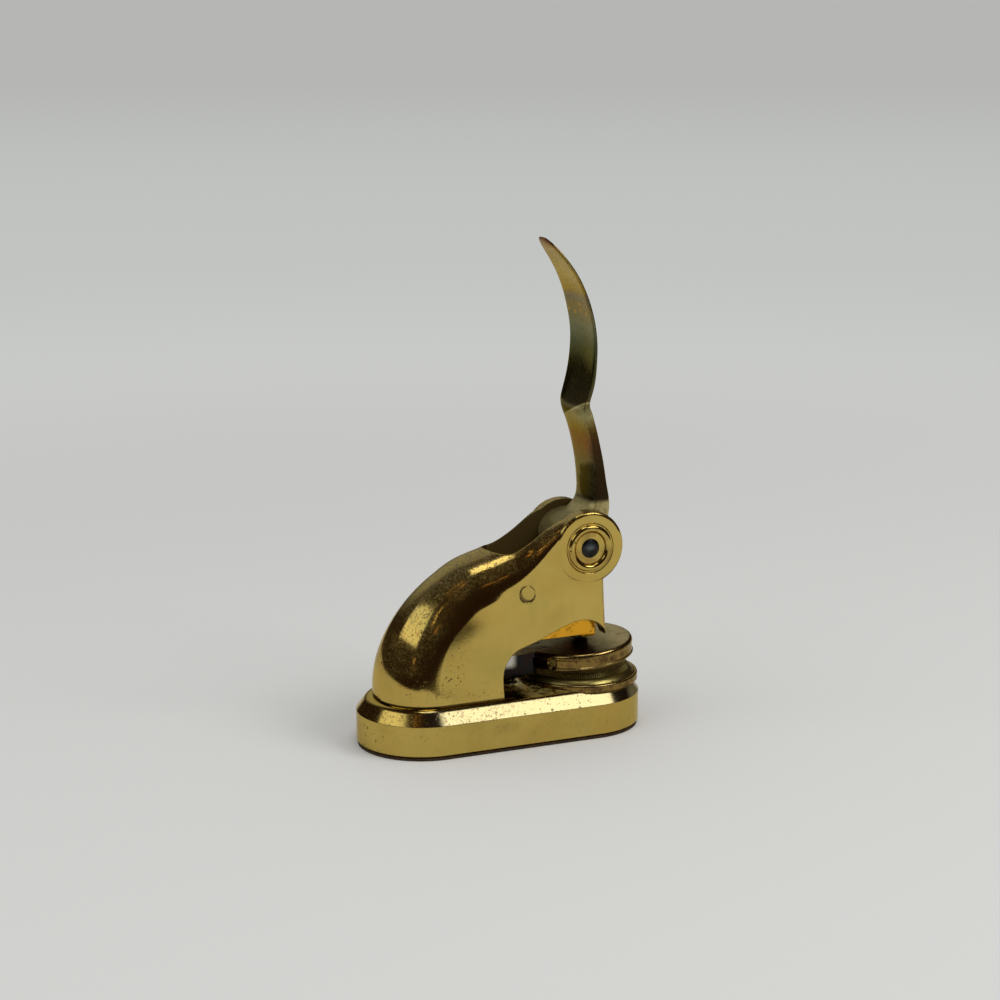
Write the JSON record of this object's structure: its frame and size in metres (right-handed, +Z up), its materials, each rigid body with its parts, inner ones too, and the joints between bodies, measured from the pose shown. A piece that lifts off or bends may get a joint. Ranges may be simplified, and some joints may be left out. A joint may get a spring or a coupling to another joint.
{
  "type": "seal embosser",
  "caption": "Desk seal embosser with a stadium base, gooseneck body and folding cam lever that drives a ram onto a hinged round die.",
  "frame": {"origin": "on the table under the middle of the base", "axes": "+X from the hump to the die end, +Y to the left when facing the die end, +Z up"},
  "size_m": [0.1084, 0.048, 0.1803],
  "materials": {
    "plated_casting": "polished brass plate, tarnished",
    "plated_lever": "polished brass plate with dark iridescent tarnish",
    "plated_disc": "turned brass plate, dulled",
    "ram_brass": "machined brass",
    "arm_steel": "ground steel",
    "dark_steel": "blackened steel",
    "die_steel": "hardened steel",
    "felt": "dark brown felt"
  },
  "bodies": {
    "frame": {"base": "plated_casting", "base_pad": "felt", "body": "plated_casting", "body_screws": "dark_steel", "near_bush": "plated_casting", "far_bush": "plated_casting", "lever_pin": "dark_steel", "ram_guide_pin": "plated_casting", "arm_pin": "dark_steel", "arm_spring": "arm_steel", "lower_holder": "plated_disc", "lower_holder_screws": "dark_steel", "counter_die": "plated_disc"},
    "lever": {"lever": "plated_lever"},
    "ram": {"ram": "ram_brass", "cam_plate": "die_steel", "pressure_screw": "die_steel"},
    "arm": {"die_arm": "arm_steel", "upper_holder": "plated_disc", "upper_holder_screws": "dark_steel", "upper_die": "die_steel", "die_set_screw": "dark_steel"}
  },
  "joints": [
    {"name": "lever_fold", "type": "hinge", "parent": "frame", "child": "lever", "pos_m": [0.0296, 0, 0.069], "axis": [0, -1, 0], "range_deg": [0, 85]},
    {"name": "ram_slide", "type": "slide", "parent": "frame", "child": "ram", "axis": [0, 0, -1], "range_m": [0, 0.0036]},
    {"name": "arm_swing", "type": "hinge", "parent": "frame", "child": "arm", "pos_m": [-0.0135, 0, 0.0245], "axis": [0, 1, 0], "range_deg": [0, 4.45], "stiffness_Nm_per_rad": 0.5, "springref_deg": -11.46, "deforming": ["arm_spring"]}
  ],
  "couplings": [
    {"joint": "ram_slide", "follows": "lever_fold", "m_per_rad": 0.00235},
    {"joint": "arm_swing", "follows": "lever_fold", "ratio": 0.0517}
  ]
}
